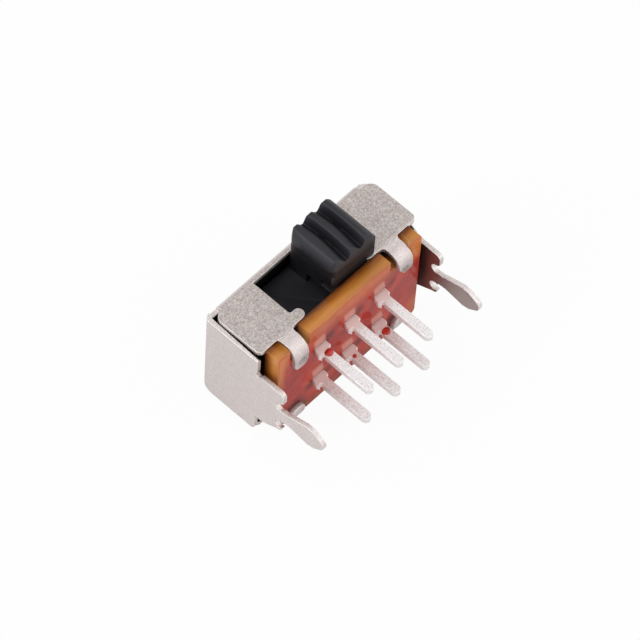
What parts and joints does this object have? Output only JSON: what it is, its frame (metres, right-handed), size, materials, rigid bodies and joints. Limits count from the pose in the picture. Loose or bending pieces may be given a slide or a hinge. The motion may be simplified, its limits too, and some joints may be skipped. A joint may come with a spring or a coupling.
{
  "type": "slide switch",
  "caption": "Side-actuated slide switch with a ridged knob, folded metal frame, phenolic terminal board, two rows of solder pins and mounting legs.",
  "frame": {"origin": "centre of the bottom face", "axes": "+X along the slide and the length of the body, +Z the way the knob points, -Y the way the pins and legs point"},
  "size_m": [0.0108, 0.0076, 0.0086],
  "materials": {
    "frame_plate": "tin-plated steel, finely mottled",
    "phenolic": "glossy phenolic laminate",
    "terminal_tin": "tin-plated brass, speckled",
    "black_plastic": "satin moulded",
    "contact_silver": "silver-plated phosphor bronze",
    "spring_steel": "bright drawn wire"
  },
  "bodies": {
    "housing": {"frame": "frame_plate", "terminal_board": "phenolic", "terminal_upper_left": "terminal_tin", "terminal_upper_middle": "terminal_tin", "terminal_upper_right": "terminal_tin", "terminal_lower_left": "terminal_tin", "terminal_lower_middle": "terminal_tin", "terminal_lower_right": "terminal_tin"},
    "slide": {"slider": "black_plastic", "contact_clip_upper": "contact_silver", "contact_clip_lower": "contact_silver", "clip_spring_upper": "spring_steel", "clip_spring_lower": "spring_steel"}
  },
  "joints": [
    {"name": "slide_travel", "type": "slide", "parent": "housing", "child": "slide", "axis": [1, 0, 0], "range_m": [-0.0022, 0]}
  ]
}
